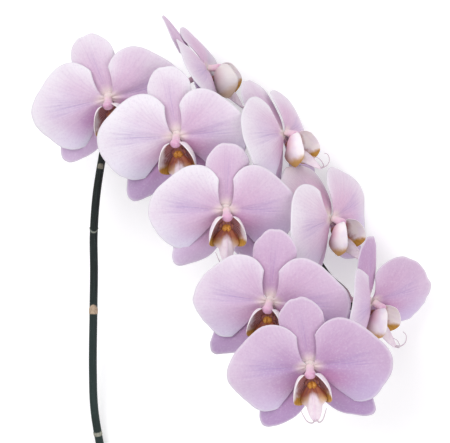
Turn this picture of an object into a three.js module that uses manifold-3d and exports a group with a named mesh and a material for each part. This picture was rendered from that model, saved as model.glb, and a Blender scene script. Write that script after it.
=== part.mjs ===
// Moth orchid stem: a cut, arching flower stem with nine open blooms, lying on a surface.
// Lengths are in millimetres and angles in degrees. The stem is built as it is seen from above:
// x to the right, y up the stem and z towards the viewer. It is then leaned onto its three low points.
import * as THREE from 'three'
import { mergeVertices } from 'three/addons/utils/BufferGeometryUtils.js'
import Module from 'manifold-3d'

const wasm = await Module()
wasm.setup()

// How the stem lies: turns about x and y, and the depth of the flat worn where it touches the surface
const LEAN_ALONG = 7.054
const LEAN_ACROSS = 12.955
const REST_FLAT_DEPTH = 0.205

// Sizes shared by all blooms
const BLADE_THICKNESS = 0.9
const SEAT_GAP = 0.35
const HUB_RADIUS = 3.3
const HUB_DEPTH = 2.3
const LAYER_STEP = 1.2
const LEAN_PIVOT = 4
const COLUMN_LENGTH = 10
const COLUMN_RADIUS = 3
const COLUMN_DROOP = 33
// Profile of the column from its root to its cap, as shares of its radius and length
const COLUMN_PROFILE = [[0, 0], [0.8, 0], [0.88, 0.3], [1, 0.65], [0.98, 0.85], [0.6, 0.98], [0, 1]]

// Outlines of the blades. widest is the place of the full width as a share of the length, upper and
// lower are how far round the edge sweeps on each side, square flattens the corners of its outer half,
// claw narrows its root, shear pushes the lower half outwards and notch dents the tip. neck hollows the
// upper side next to the root, which leaves a round lobe above it.
const PETAL = {
  length: 49, width: 53, widest: 0.48, upper: 136, lower: 104,
  square: 0.09, claw: 1.15, shear: 0.14, notch: 0, neck: 0.5,
}
const DORSAL = {
  length: 42.5, width: 27, widest: 0.66, upper: 116, lower: 116,
  square: 0.05, claw: 0.85, shear: 0, notch: 1.1, neck: 0,
}
const LATERAL = {
  length: 49, width: 26, widest: 0.54, upper: 112, lower: 112,
  square: 0.02, claw: 1.3, shear: 0, notch: 0, neck: 0,
}
const LOBE = {
  length: 18, width: 21, widest: 0.52, upper: 110, lower: 146,
  square: 0.02, claw: 1.1, shear: 0, notch: 0, neck: 0,
}
const MID_LOBE = {
  length: 24, width: 16, widest: 0.42, upper: 110, lower: 110,
  square: 0.2, claw: 1.2, shear: 0, notch: 0, neck: 0,
}

// Relief of the blades: forward bulge, backward bend of the tip, backward roll of the rim, depth of
// the middle crease, height and number of the waves along the rim, and forward lift of the upper lobe
const PETAL_RELIEF = { bulge: 3.2, bend: 2.5, roll: 2.2, crease: 1, wave: 0.9, waves: 2.5, lift: 5.2 }
const SEPAL_RELIEF = { bulge: 1.2, bend: 1.5, roll: 1.4, crease: 0.7, wave: 0.5, waves: 2, lift: 0 }
const LOBE_RELIEF = { bulge: -2, bend: -1, roll: -1.6, crease: 0, wave: 0.3, waves: 2, lift: 0 }
const MID_LOBE_RELIEF = { bulge: 1.5, bend: 1, roll: 2.6, crease: -0.8, wave: 0, waves: 1, lift: 0 }

// The lip: its fleshy base, the floor of its throat, the callus on it, the root of its middle lobe, and
// the root and directions of its right side lobe, along it and into its hollow face
const LIP_BASE = { radius: 2.6, stretch: [1.3, 0.8, 1], place: [0, -7.3, 2.8] }
const THROAT = { radius: 3, stretch: [1.55, 0.95, 0.5], place: [0, -9.8, 4.2] }
const CALLUS = { radius: 2.5, place: [0, -10.7, 6.3] }
const MID_LOBE_ROOT = [0, -9.2, 4.4]
const MID_LOBE_THICKNESS = 1.3
const SIDE_LOBE_ROOT = [2, -7.9, 2.9]
const SIDE_LOBE_ALONG = [0.56, -0.5, 0.66]
const SIDE_LOBE_INWARDS = [-0.83, -0.28, 0.42]

// One tendril of the lip, in the frame of its middle lobe
const TENDRIL = [[0.6, 22.8, -0.9], [2, 25, 1.5], [4.5, 24.5, 4.5], [6.5, 21, 6.5], [7.5, 18, 5.5]]
const TENDRIL_RADIUS = 0.5

// Directions of the tepals in the bloom's own plane, from its right and counter-clockwise, with their
// lean out of it. The left ones mirror the right ones.
const DORSAL_DIRECTION = 90
const PETAL_DIRECTION = 2
const LATERAL_DIRECTION = -41
const LATERAL_LEAN = -5

// The nine blooms from the cut end to the tip. at is the centre. turn faces a bloom right, nod faces
// it down the stem and spin rolls it counter-clockwise. left and right give each petal's rise, lean
// and length, and its breadth where that differs. dorsal gives that sepal's rise, lean and length,
// lower the rise and length of the other two, and chin how far the lip's middle lobe juts forward.
const BLOOMS = [
  {
    at: [-70, 75, 35.5], turn: -8, nod: 13, spin: 15, size: 1, chin: -12,
    left: [1, -2, 50], right: [-2, 2, 47.5], dorsal: [7, -2, 41], lower: [3, 51],
  },
  {
    at: [-13, 91.5, 18.5], turn: 79, nod: -32, spin: 9, size: 0.98, chin: 12,
    left: [4, 0, 41], right: [13, 6, 46], dorsal: [-2, 0, 44], lower: [0, 42],
  },
  {
    at: [-28.5, 51.5, 58.5], turn: -9, nod: 12, spin: 7, size: 0.99, chin: 24,
    left: [-2, 3, 49.5], right: [-1, 2, 43.5], dorsal: [3, -4, 43], lower: [-4, 52],
  },
  {
    at: [34, 52.5, 39], turn: 58, nod: -17, spin: 11, size: 0.97, chin: 30,
    left: [-2, 3, 49.5], right: [3, -10, 48.5], dorsal: [-2, -13, 41.5], lower: [0, 46],
  },
  {
    at: [0.5, 7.5, 75], turn: 6, nod: 12, spin: 0, size: 0.97, chin: 24,
    left: [0, -2, 47.5], right: [1, 2, 44], dorsal: [-2, -2, 41], lower: [-9, 47],
  },
  {
    at: [62, 1.5, 49], turn: 54, nod: -6, spin: 16, size: 0.98, chin: 30,
    left: [0, 6, 49], right: [2, -3, 49], dorsal: [0, -26, 41], lower: [0, 47],
  },
  {
    at: [26.5, -46.5, 92.5], turn: -9, nod: 12, spin: -5, size: 0.97, chin: 24,
    left: [0, 0, 47], right: [2, 0, 48.5], dorsal: [-1, -6, 44], lower: [-6, 51],
  },
  {
    at: [85.5, -47.5, 70], turn: 62, nod: 5, spin: 14, size: 0.93, chin: 30,
    left: [2, 15, 48.5], right: [3, 28, 51, 0.85], dorsal: [-1, 6, 43.5], lower: [0, 47],
  },
  {
    at: [49.5, -83.5, 112], turn: -4, nod: 13, spin: 7, size: 0.98, chin: 28,
    left: [1, -2, 50], right: [-1, 6, 49], dorsal: [4, 0, 42], lower: [-6, 49],
  },
]

// Route of the stem from its cut end, up, over the arch and down to the last bloom
const STEM_ROUTE = [
  [-63.3, -202.6, 3], [-67.2, -182.4, -0.4], [-72, -162, -2.9], [-77.3, -136.2, -4.2], [-80.6, -115, -4.2],
  [-81.4, -90.6, -3], [-80.9, -53.8, 0], [-80.5, -30, 2.5], [-80.6, -8.9, 5], [-78.9, 15, 8], [-75.4, 37.6, 11],
  [-71.5, 56, 14],
  [-63, 68, 15.5], [-50, 75, 15.5], [-36, 77, 15], [-20, 76, 15.5], [-3, 72.5, 18], [8, 64.5, 21], [15, 57, 25],
  [20, 48, 30], [24, 36, 35], [30, 24, 39], [37, 12, 42], [44, 0, 44], [51, -13, 43.5], [58, -26, 44.5],
  [67, -38, 49], [75, -48, 56], [76.5, -59, 60], [73, -70, 64],
]
// Heights of the rings on the straight part of the stem
const STEM_RINGS = [-130.5, -54, -4, 34]
const STEM_RADIUS = 2.5
const STALK_END_RADIUS = 1.4
// Where the stem starts and stops getting thinner, as shares of its length
const STEM_TAPER_START = 0.42
const STEM_TAPER_END = 0.95
const STEM_STEPS = 56
const STEM_SIDES = 8
const RING_LENGTH = 4
const RING_RISE = 0.35
const RING_SINK = 0.2

// Where each flower stalk leaves the stem, and where it bends towards its bloom
const STALKS = [
  [[-71.5, 56, 14], [-69, 70, 20]],
  [[-48, 75.5, 15.5], [-36, 82, 10]],
  [[-28, 76.5, 15], [-17, 58, 24]],
  [[5, 68.5, 20], [18, 56, 22]],
  [[22, 42, 32.5], [12, 19, 43]],
  [[30, 24, 39], [44, 8, 37]],
  [[54, -18.5, 43.5], [38, -38, 58]],
  [[62, -32, 46.5], [72, -41, 55]],
  [[73, -70, 64], [64, -90, 82]],
]
const STALK_RADIUS = 1.25
const OVARY_RADIUS = 1.9
const OVARY_LENGTH = 9
const BRACT_RADIUS = 1.5
const BRACT_LENGTH = 7

const radians = THREE.MathUtils.degToRad

// Solids from geometry and back

function toSolid(geometry) {
  const bare = geometry.clone()
  bare.deleteAttribute('normal')
  bare.deleteAttribute('uv')
  const merged = mergeVertices(bare, 1e-4)
  const vertProperties = new Float32Array(merged.attributes.position.array)
  const triVerts = new Uint32Array(merged.index.array)
  return new wasm.Manifold(new wasm.Mesh({ numProp: 3, vertProperties, triVerts }))
}

function toGeometry(solid) {
  const { vertProperties, triVerts } = solid.getMesh()
  const geometry = new THREE.BufferGeometry()
  geometry.setAttribute('position', new THREE.BufferAttribute(new Float32Array(vertProperties), 3))
  geometry.setIndex(new THREE.BufferAttribute(new Uint32Array(triVerts), 1))
  geometry.computeVertexNormals()
  return geometry
}

function fuse(geometries) {
  const solids = geometries.map(toSolid)
  return toGeometry(solids.reduce((joined, next) => joined.add(next)))
}

// One blade, rooted at the origin and growing along y with its face towards z. Its rays fan out from
// the root like veins, and both faces have the same triangles, one thickness apart.

function edgePoint(outline, angle) {
  const round = Math.cos(angle) > 0 ? 1 - outline.square * Math.sin(2 * angle) ** 2 : 1
  const middle = outline.widest * outline.length
  const reach = Math.cos(angle) > 0 ? outline.length - middle : middle * 0.9
  const x = (outline.width / 2) * round * Math.sin(angle)
  const y = middle + reach * round * Math.cos(angle)
  return new THREE.Vector2(x, y)
}

function bladeHeight(relief, side, upper, along, phase) {
  const bulge = relief.bulge * Math.sin(Math.PI * Math.min(along, 1) ** 0.8) * Math.cos(side * 1.2)
  const bend = relief.bend * along ** 2
  const roll = relief.roll * (side * along) ** 2
  const crease = relief.crease * Math.exp(-((side / 0.16) ** 2)) * Math.sin(Math.PI * along)
  const wave = relief.wave * along ** 3 * Math.sin(relief.waves * Math.PI * side + phase)
  const lift = relief.lift * upper ** 4 * along ** 2
  return bulge - bend - roll - crease + wave + lift
}

function bladeGeometry(outline, relief, { mirror = 1, phase = 0, rays, rings, thickness = BLADE_THICKNESS }) {
  const points = []
  const addPair = (x, y, height) => points.push(x, y, height + thickness / 2, x, y, height - thickness / 2)
  addPair(0, 0, 0)
  for (let ring = 1; ring <= rings; ring++) {
    const along = (ring / rings) ** 0.85
    for (let ray = 0; ray <= rays; ray++) {
      const side = (2 * ray) / rays - 1
      const edge = edgePoint(outline, side * radians(side * mirror > 0 ? outline.upper : outline.lower))
      const isTip = ring === rings && ray === rays / 2
      const upper = Math.max(0, side * mirror)
      const x = edge.x * along ** outline.claw
      const y = edge.y * along ** (1 - outline.neck * upper ** 4) - outline.shear * mirror * x * along
      addPair(x, y - (isTip ? outline.notch : 0), bladeHeight(relief, side, upper, along, phase))
    }
  }
  const index = []
  const front = (ring, ray) => (ring === 0 ? 0 : 2 * (1 + (ring - 1) * (rays + 1) + ray))
  const back = (ring, ray) => front(ring, ray) + 1
  const addFace = (a, b, c) => {
    index.push(a, b, c)
  }
  for (let ring = 0; ring < rings; ring++) {
    for (let ray = 0; ray < rays; ray++) {
      const near = [front(ring, ray), front(ring, ray + 1)]
      const far = [front(ring + 1, ray), front(ring + 1, ray + 1)]
      const corners = ray < rays / 2 ? [near[0], near[1], far[1], far[0]] : [near[1], far[1], far[0], near[0]]
      if (ring > 0) {
        addFace(corners[0], corners[1], corners[2])
        addFace(corners[0], corners[2], corners[3])
        addFace(corners[0] + 1, corners[2] + 1, corners[1] + 1)
        addFace(corners[0] + 1, corners[3] + 1, corners[2] + 1)
      } else {
        addFace(0, far[1], far[0])
        addFace(1, far[0] + 1, far[1] + 1)
      }
    }
  }
  for (let ray = 0; ray < rays; ray++) {
    addFace(front(rings, ray), front(rings, ray + 1), back(rings, ray + 1))
    addFace(front(rings, ray), back(rings, ray + 1), back(rings, ray))
  }
  for (let ring = 0; ring < rings; ring++) {
    addFace(front(ring + 1, rays), front(ring, rays), back(ring, rays))
    addFace(front(ring + 1, rays), back(ring, rays), back(ring + 1, rays))
    addFace(front(ring, 0), front(ring + 1, 0), back(ring + 1, 0))
    addFace(front(ring, 0), back(ring + 1, 0), back(ring, 0))
  }
  const geometry = new THREE.BufferGeometry()
  geometry.setAttribute('position', new THREE.Float32BufferAttribute(points, 3))
  geometry.setIndex(index)
  return geometry
}

// Leans a blade forward about a line just outside the hub, points it and lifts it to its layer
function placeBlade(geometry, direction, lean, layer) {
  geometry.translate(0, -LEAN_PIVOT, 0)
  geometry.rotateX(radians(lean))
  geometry.translate(0, LEAN_PIVOT, 0)
  geometry.rotateZ(radians(direction - 90))
  geometry.translate(0, 0, layer)
  return geometry
}

// A round rod along a curve, with a radius that follows radiusAt from 0 to 1

function rodGeometry(curve, radiusAt, steps, sides) {
  const frames = curve.computeFrenetFrames(steps, false)
  const points = []
  for (let step = 0; step <= steps; step++) {
    const centre = curve.getPointAt(step / steps)
    for (let side = 0; side < sides; side++) {
      const angle = (2 * Math.PI * side) / sides
      const out = frames.normals[step].clone().multiplyScalar(Math.cos(angle))
      out.addScaledVector(frames.binormals[step], Math.sin(angle))
      const place = centre.clone().addScaledVector(out, radiusAt(step / steps))
      points.push(place.x, place.y, place.z)
    }
  }
  const start = curve.getPointAt(0)
  const end = curve.getPointAt(1)
  points.push(start.x, start.y, start.z, end.x, end.y, end.z)
  const first = (steps + 1) * sides
  const index = []
  for (let side = 0; side < sides; side++) {
    const next = (side + 1) % sides
    index.push(first, next, side)
    index.push(first + 1, steps * sides + side, steps * sides + next)
    for (let step = 0; step < steps; step++) {
      const low = step * sides
      const high = low + sides
      index.push(low + side, low + next, high + next)
      index.push(low + side, high + next, high + side)
    }
  }
  const geometry = new THREE.BufferGeometry()
  geometry.setAttribute('position', new THREE.Float32BufferAttribute(points, 3))
  geometry.setIndex(index)
  return geometry
}

// The parts of one bloom, in its own frame: x to its right, y to its dorsal sepal, z out of its face

function tepals(bloom, number) {
  const hub = new THREE.SphereGeometry(HUB_RADIUS, 6, 4)
  hub.scale(1, 1, HUB_DEPTH / HUB_RADIUS)
  const phase = 2.4 * number
  const [rise, lean, length] = bloom.dorsal
  const dorsal = bladeGeometry({ ...DORSAL, length }, SEPAL_RELIEF, { phase, rays: 6, rings: 3 })
  const pieces = [hub, placeBlade(dorsal, DORSAL_DIRECTION + rise, lean, -LAYER_STEP)]
  for (const mirror of [1, -1]) {
    const [rise, lean, length, breadth = 1] = mirror === 1 ? bloom.right : bloom.left
    const turned = (direction) => (mirror === 1 ? direction : 180 - direction)
    const petalShape = { mirror: -mirror, phase: phase + mirror, rays: 10, rings: 4 }
    const outline = { ...PETAL, length, width: PETAL.width * breadth }
    const petal = bladeGeometry(outline, PETAL_RELIEF, petalShape)
    pieces.push(placeBlade(petal, turned(PETAL_DIRECTION) + rise, lean, LAYER_STEP))
    const lateralShape = { mirror, phase: phase - mirror, rays: 6, rings: 3 }
    const lateral = bladeGeometry({ ...LATERAL, length: bloom.lower[1] }, SEPAL_RELIEF, lateralShape)
    pieces.push(placeBlade(lateral, turned(LATERAL_DIRECTION + bloom.lower[0]), LATERAL_LEAN, -LAYER_STEP))
  }
  return fuse(pieces)
}

function column() {
  const points = COLUMN_PROFILE.map(([r, h]) => new THREE.Vector2(r * COLUMN_RADIUS, h * COLUMN_LENGTH))
  const geometry = new THREE.LatheGeometry(points, 6)
  geometry.rotateX(radians(90 + COLUMN_DROOP))
  const rootRadius = points[1].x
  const seatRadius = rootRadius * Math.cos(radians(COLUMN_DROOP))
  const hubHeight = HUB_DEPTH * Math.sqrt(1 - (seatRadius / HUB_RADIUS) ** 2)
  geometry.translate(0, 0, hubHeight + SEAT_GAP + rootRadius * Math.sin(radians(COLUMN_DROOP)))
  return fuse([geometry])
}

function sideLobe(mirror) {
  const mirrored = ([x, y, z]) => new THREE.Vector3(mirror * x, y, z)
  const lobe = bladeGeometry(LOBE, LOBE_RELIEF, { mirror: -mirror, phase: 1, rays: 6, rings: 2 })
  const along = mirrored(SIDE_LOBE_ALONG).normalize()
  const across = new THREE.Vector3().crossVectors(along, mirrored(SIDE_LOBE_INWARDS)).normalize()
  const inwards = new THREE.Vector3().crossVectors(across, along)
  lobe.applyMatrix4(new THREE.Matrix4().makeBasis(across, along, inwards))
  lobe.translate(...mirrored(SIDE_LOBE_ROOT).toArray())
  return lobe
}

function tendril(mirror) {
  const curl = TENDRIL.map(([x, y, z]) => new THREE.Vector3(mirror * x, y, z))
  return rodGeometry(new THREE.CatmullRomCurve3(curl), () => TENDRIL_RADIUS, 6, 3)
}

function lip(bloom) {
  const base = new THREE.SphereGeometry(LIP_BASE.radius, 6, 4)
  base.scale(...LIP_BASE.stretch)
  base.translate(...LIP_BASE.place)
  const throat = new THREE.SphereGeometry(THROAT.radius, 6, 4)
  throat.scale(...THROAT.stretch)
  throat.translate(...THROAT.place)
  const callus = new THREE.SphereGeometry(CALLUS.radius, 5, 4)
  callus.translate(...CALLUS.place)
  const midLobe = bladeGeometry(MID_LOBE, MID_LOBE_RELIEF, { rays: 4, rings: 3, thickness: MID_LOBE_THICKNESS })
  const chinPieces = [midLobe, tendril(1), tendril(-1)]
  for (const piece of chinPieces) {
    piece.rotateX(radians(bloom.chin))
    piece.rotateZ(Math.PI)
    piece.translate(...MID_LOBE_ROOT)
  }
  return fuse([base, throat, callus, ...chinPieces, sideLobe(1), sideLobe(-1)])
}

// The stem with its rings, its nine flower stalks and the small bract under each of them

function alignTo(geometry, direction, place) {
  const axis = new THREE.Vector3(0, 1, 0)
  const turn = new THREE.Quaternion().setFromUnitVectors(axis, direction.clone().normalize())
  geometry.applyQuaternion(turn)
  geometry.translate(place.x, place.y, place.z)
  return geometry
}

function smoothCurve(route) {
  return new THREE.CatmullRomCurve3(route.map((point) => new THREE.Vector3(...point)), false, 'centripetal')
}

function nearestShare(curve, height) {
  let best = 0
  for (let step = 0; step <= 400; step++) {
    const share = (0.5 * step) / 400
    if (Math.abs(curve.getPointAt(share).y - height) < Math.abs(curve.getPointAt(best).y - height)) best = share
  }
  return best
}

function stemRadius(share) {
  const taper = THREE.MathUtils.clamp((share - STEM_TAPER_START) / (STEM_TAPER_END - STEM_TAPER_START), 0, 1)
  return STEM_RADIUS * (1 - taper) + STALK_END_RADIUS * taper
}

function stemRing(curve, height) {
  const share = nearestShare(curve, height)
  const end = RING_LENGTH / 2
  const foot = stemRadius(share) - RING_SINK
  const rim = stemRadius(share) + RING_RISE
  const profile = [[0, -end], [foot, -end], [rim, -end * 0.4], [rim, end * 0.4], [foot, end], [0, end]]
  const ring = new THREE.LatheGeometry(profile.map(([x, y]) => new THREE.Vector2(x, y)), STEM_SIDES)
  return alignTo(ring, curve.getTangentAt(share), curve.getPointAt(share))
}

function bloomBack(bloom) {
  const turn = new THREE.Euler(radians(bloom.nod), radians(bloom.turn), radians(bloom.spin), 'YXZ')
  const face = new THREE.Vector3(0, 0, 1).applyEuler(turn)
  const seat = new THREE.Vector3(...bloom.at).addScaledVector(face, -HUB_DEPTH * bloom.size - SEAT_GAP)
  return { face, seat }
}

function stalk(bloom, [start, bend]) {
  const { face, seat } = bloomBack(bloom)
  const root = new THREE.Vector3(...start)
  const elbow = new THREE.Vector3(...bend)
  const neck = seat.clone().addScaledVector(face, -OVARY_LENGTH)
  const curve = new THREE.CatmullRomCurve3([root, elbow, neck, seat], false, 'centripetal')
  const radiusAt = (share) => STALK_RADIUS + (OVARY_RADIUS - STALK_RADIUS) * share ** 2
  const bract = new THREE.ConeGeometry(BRACT_RADIUS, BRACT_LENGTH, 5)
  const outwards = elbow.clone().sub(root).normalize()
  const bractPlace = root.clone().addScaledVector(outwards, BRACT_LENGTH * 0.4)
  bractPlace.z -= BRACT_RADIUS * 0.6
  return [rodGeometry(curve, radiusAt, 6, 6), alignTo(bract, outwards, bractPlace)]
}

function stem() {
  const curve = smoothCurve(STEM_ROUTE)
  const pieces = [rodGeometry(curve, stemRadius, STEM_STEPS, STEM_SIDES)]
  for (const height of STEM_RINGS) pieces.push(stemRing(curve, height))
  BLOOMS.forEach((bloom, index) => pieces.push(...stalk(bloom, STALKS[index])))
  return fuse(pieces)
}

// Wears a flat on the underside of a geometry, square to the direction up
function wearFlat(geometry, up) {
  const place = geometry.attributes.position
  let lowest = Infinity
  for (let point = 0; point < place.count; point++) {
    lowest = Math.min(lowest, up.dot(new THREE.Vector3().fromBufferAttribute(place, point)))
  }
  return toGeometry(toSolid(geometry).trimByPlane(up.toArray(), lowest + REST_FLAT_DEPTH))
}

const spray = new THREE.Group()
const orchid = new THREE.Group()
orchid.rotation.set(radians(LEAN_ALONG), radians(LEAN_ACROSS), 0)
orchid.add(spray)

const tepalMaterial = new THREE.MeshStandardMaterial({ color: 0xdcc0dc, roughness: 0.6, metalness: 0 })
const lipMaterial = new THREE.MeshStandardMaterial({ color: 0xf2e4e6, roughness: 0.55, metalness: 0 })
const columnMaterial = new THREE.MeshStandardMaterial({ color: 0xd58fc4, roughness: 0.5, metalness: 0 })

BLOOMS.forEach((bloom, index) => {
  const number = index + 1
  const group = new THREE.Group()
  group.position.set(...bloom.at)
  group.rotation.set(radians(bloom.nod), radians(bloom.turn), radians(bloom.spin), 'YXZ')
  group.scale.setScalar(bloom.size)
  const parts = [
    ['tepals', tepals(bloom, number), tepalMaterial],
    ['lip', lip(bloom), lipMaterial],
    ['column', column(), columnMaterial],
  ]
  for (const [name, geometry, material] of parts) {
    const mesh = new THREE.Mesh(geometry, material)
    mesh.name = `bloom_${number}_${name}`
    group.add(mesh)
  }
  spray.add(group)
})

const stemMaterial = new THREE.MeshStandardMaterial({ color: 0x26382f, roughness: 0.6, metalness: 0 })
const upwards = new THREE.Vector3(0, 0, 1).applyQuaternion(orchid.quaternion.clone().invert())
const stemMesh = new THREE.Mesh(wearFlat(stem(), upwards), stemMaterial)
stemMesh.name = 'flower_stem'
spray.add(stemMesh)

// Stands the stem on the ground plane with the origin under the middle of its box
const extent = new THREE.Box3().setFromObject(orchid, true)
const middle = extent.getCenter(new THREE.Vector3())
orchid.position.set(-middle.x, -middle.y, -extent.min.z)

export default orchid
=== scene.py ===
"""Looks of a cut moth orchid stem with nine open blooms, lying on a pale surface.

Places repeat the solid model's own named values, in millimetres, in the frame of the spray: x to its
right, y up the stem and z towards the viewer. The spray is then leaned and set on the ground in metres.
"""

import math

import bpy
import numpy as np
from bpy.props import FloatProperty, FloatVectorProperty, IntProperty, PointerProperty
from mathutils import Matrix, Vector


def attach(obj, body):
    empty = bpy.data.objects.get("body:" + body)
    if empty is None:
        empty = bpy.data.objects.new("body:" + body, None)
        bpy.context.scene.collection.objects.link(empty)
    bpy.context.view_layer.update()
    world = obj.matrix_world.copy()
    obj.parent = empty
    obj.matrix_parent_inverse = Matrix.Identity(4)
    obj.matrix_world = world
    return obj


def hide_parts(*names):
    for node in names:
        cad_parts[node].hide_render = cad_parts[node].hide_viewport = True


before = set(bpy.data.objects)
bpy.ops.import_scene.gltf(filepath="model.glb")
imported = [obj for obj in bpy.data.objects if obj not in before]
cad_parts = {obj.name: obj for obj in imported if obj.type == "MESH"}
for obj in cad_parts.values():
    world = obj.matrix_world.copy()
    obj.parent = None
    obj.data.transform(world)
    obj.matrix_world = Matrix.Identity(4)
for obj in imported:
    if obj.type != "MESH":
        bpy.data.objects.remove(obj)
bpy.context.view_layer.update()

bl_info = {
    "name": "Moth orchid stem",
    "version": (1, 0, 0),
    "blender": (4, 5, 0),
    "location": "3D View > Sidebar > Orchid",
    "description": "Blooms, lips, columns and stem of a cut moth orchid, with a stage for it",
    "category": "Object",
}

# How the spray lies: lean in degrees about x and y, and its shift to the ground, in millimetres
LEAN_ALONG = 7.054
LEAN_ACROSS = 12.955
GROUND_SHIFT = (-10.8261, 41.249, 10.1748)
MM = 0.001

# Sizes shared by all blooms, in millimetres and degrees
HUB_RADIUS = 3.3
HUB_DEPTH = 2.3
LAYER_STEP = 1.2
LEAN_PIVOT = 4
SEAT_GAP = 0.35
PETAL_DIRECTION = 2
DORSAL_DIRECTION = 90
LATERAL_DIRECTION = -41
LATERAL_LEAN = -5

# The column: its length, radius and droop below the bloom's face, and its radius at each height as shares
COLUMN_LENGTH = 8.8
COLUMN_RADIUS = 3
COLUMN_DROOP = 33
COLUMN_PROFILE = [(0, 0.8), (0.15, 0.78), (0.35, 0.8), (0.52, 0.9), (0.66, 0.98), (0.76, 1), (0.83, 0.93),
                  (0.87, 0.94), (0.93, 0.84), (0.975, 0.62), (0.995, 0.3)]

# Outlines of the blades, in millimetres and degrees. widest is the place of the full width as a share of
# the length, upper and lower are how far round the edge sweeps on each side, square flattens the corners
# of its outer half, claw narrows its root, shear pushes the lower half outwards and notch dents the tip.
# neck hollows the upper side next to the root, and waist narrows the outer half.
BLADE = dict(square=0.1, shear=0, notch=0, neck=0, waist=0)
PETAL = dict(BLADE, length=49, width=53, widest=0.48, upper=136, lower=104, square=0.09, claw=1.15,
             shear=0.14, neck=0.5)
DORSAL = dict(BLADE, length=42.5, width=27, widest=0.66, upper=116, lower=116, square=0.05, claw=0.65,
              notch=1.1)
LATERAL = dict(BLADE, length=49, width=26, widest=0.54, upper=112, lower=112, claw=1.1)
SIDE_LOBE = dict(BLADE, length=18.5, width=21, widest=0.52, upper=110, lower=146, claw=0.45)
MID_LOBE = dict(BLADE, length=24, width=16, widest=0.4, upper=110, lower=110, square=0, claw=0.85,
                waist=0.38)

# Relief of the blades: forward bulge, backward bend of the tip, backward roll of the rim, depth of
# the middle crease, height and number of the waves along the rim, forward lift of the upper lobe, and
# unevenness of the rim as a share of its distance from the root, where a bloom doesn't give its own
RELIEF = dict(waves=2, lift=0, frill=0.003)
PETAL_RELIEF = dict(bulge=3.2, bend=2.5, roll=2.2, crease=1, wave=0.9, waves=2.5, lift=5.2)
SEPAL_RELIEF = dict(RELIEF, bulge=1.2, bend=1.5, roll=1.4, crease=0.7, wave=0.5)
SIDE_LOBE_RELIEF = dict(RELIEF, bulge=-3.4, bend=-1, roll=-1.6, crease=0, wave=0.3)
MID_LOBE_RELIEF = dict(RELIEF, bulge=1.5, bend=1, roll=2.6, crease=-0.8, wave=0)

# The blades' mesh and fine forms. Rows of faces spread towards the rim. FRILL gives each wave of an uneven
# rim its count, height and shift, PHASE_STEP how far the waves move from one bloom to the next
ROW_SPREAD = 0.85
SIDE_LOBE_MESH = (30, 24)
MID_LOBE_MESH = (44, 28)
ROOT_DEPTH = 0.9
WAIST_START = 0.46
WAIST_LENGTH = 0.14
NOTCH_WIDTH = 0.11
CREASE_WIDTH = 0.16
FRILL = [(9, 1, 5), (19, 0.6, 9), (37, 0.3, 0)]
PHASE_STEP = 2.4
PLEATS = 9.5
PETAL_PLEAT = 0.2
SEPAL_PLEAT = 0.15

# Colours of the tepals against their bloom's own. The right petal is deeper (blush), which is painted shade
# as the light falls from the left, and pinker (warm). The left petal is paler, which is painted light, and
# has only a share of the change from upper to lower half, so it is less deep below as painted light on it.
# The sepals get how much deeper (blush) and pinker (warm) they are, which place in that change their colour
# has, and how strong their middle streak is. The lower sepals' extra blush is partly painted shade where they
# lie behind the petals.
RIGHT_PAINTED_SHADE = 0.12
RIGHT_WARM = 0.25
LEFT_PAINTED_LIGHT = 0.03
LEFT_LIT_LOWER_SHARE = 0.62
DORSAL_WARM = 0.35
DORSAL_UP = 0.3
LATERAL_BLUSH_AND_SHADE = 0.4
LATERAL_WARM = 0.4
LATERAL_UP = -0.35
SEPAL_STREAK = 0.4

# The lip: its fleshy base, the floor of its throat, the callus on it, its middle lobe's root, its right
# side lobe's root, directions, fold at the top, lowest point and height, and its right tendril's route
LIP_BASE_PLACE = (0, -7.3, 2.8)
LIP_BASE_RADII = (3.38, 2.08, 2.6)
THROAT_PLACE = (0, -9.8, 4.2)
THROAT_RADII = (4.65, 2.85, 1.5)
CALLUS_PLACE = (0, -10.7, 6.3)
CALLUS_RADII = (2.875, 2.5, 2.5)
MID_LOBE_ROOT = (0, -9.2, 4.4)
MID_LOBE_THICKER = 0.3
SIDE_LOBE_ROOT = (2, -7.9, 2.9)
SIDE_LOBE_ALONG = (0.56, -0.5, 0.66)
SIDE_LOBE_INWARDS = (-0.83, -0.28, 0.42)
SIDE_LOBE_FOLD = (-0.6, 2, -1.8)
SIDE_LOBE_FOOT = -22
SIDE_LOBE_HEIGHT = 14
TENDRIL = [(0.6, 22.8, -0.9), (2, 25, 1.5), (4.5, 24.5, 4.5), (6.5, 21, 6.5), (7.5, 18, 5.5)]
TENDRIL_RADIUS = 0.5
TENDRIL_TAPER = 0.45
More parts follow.
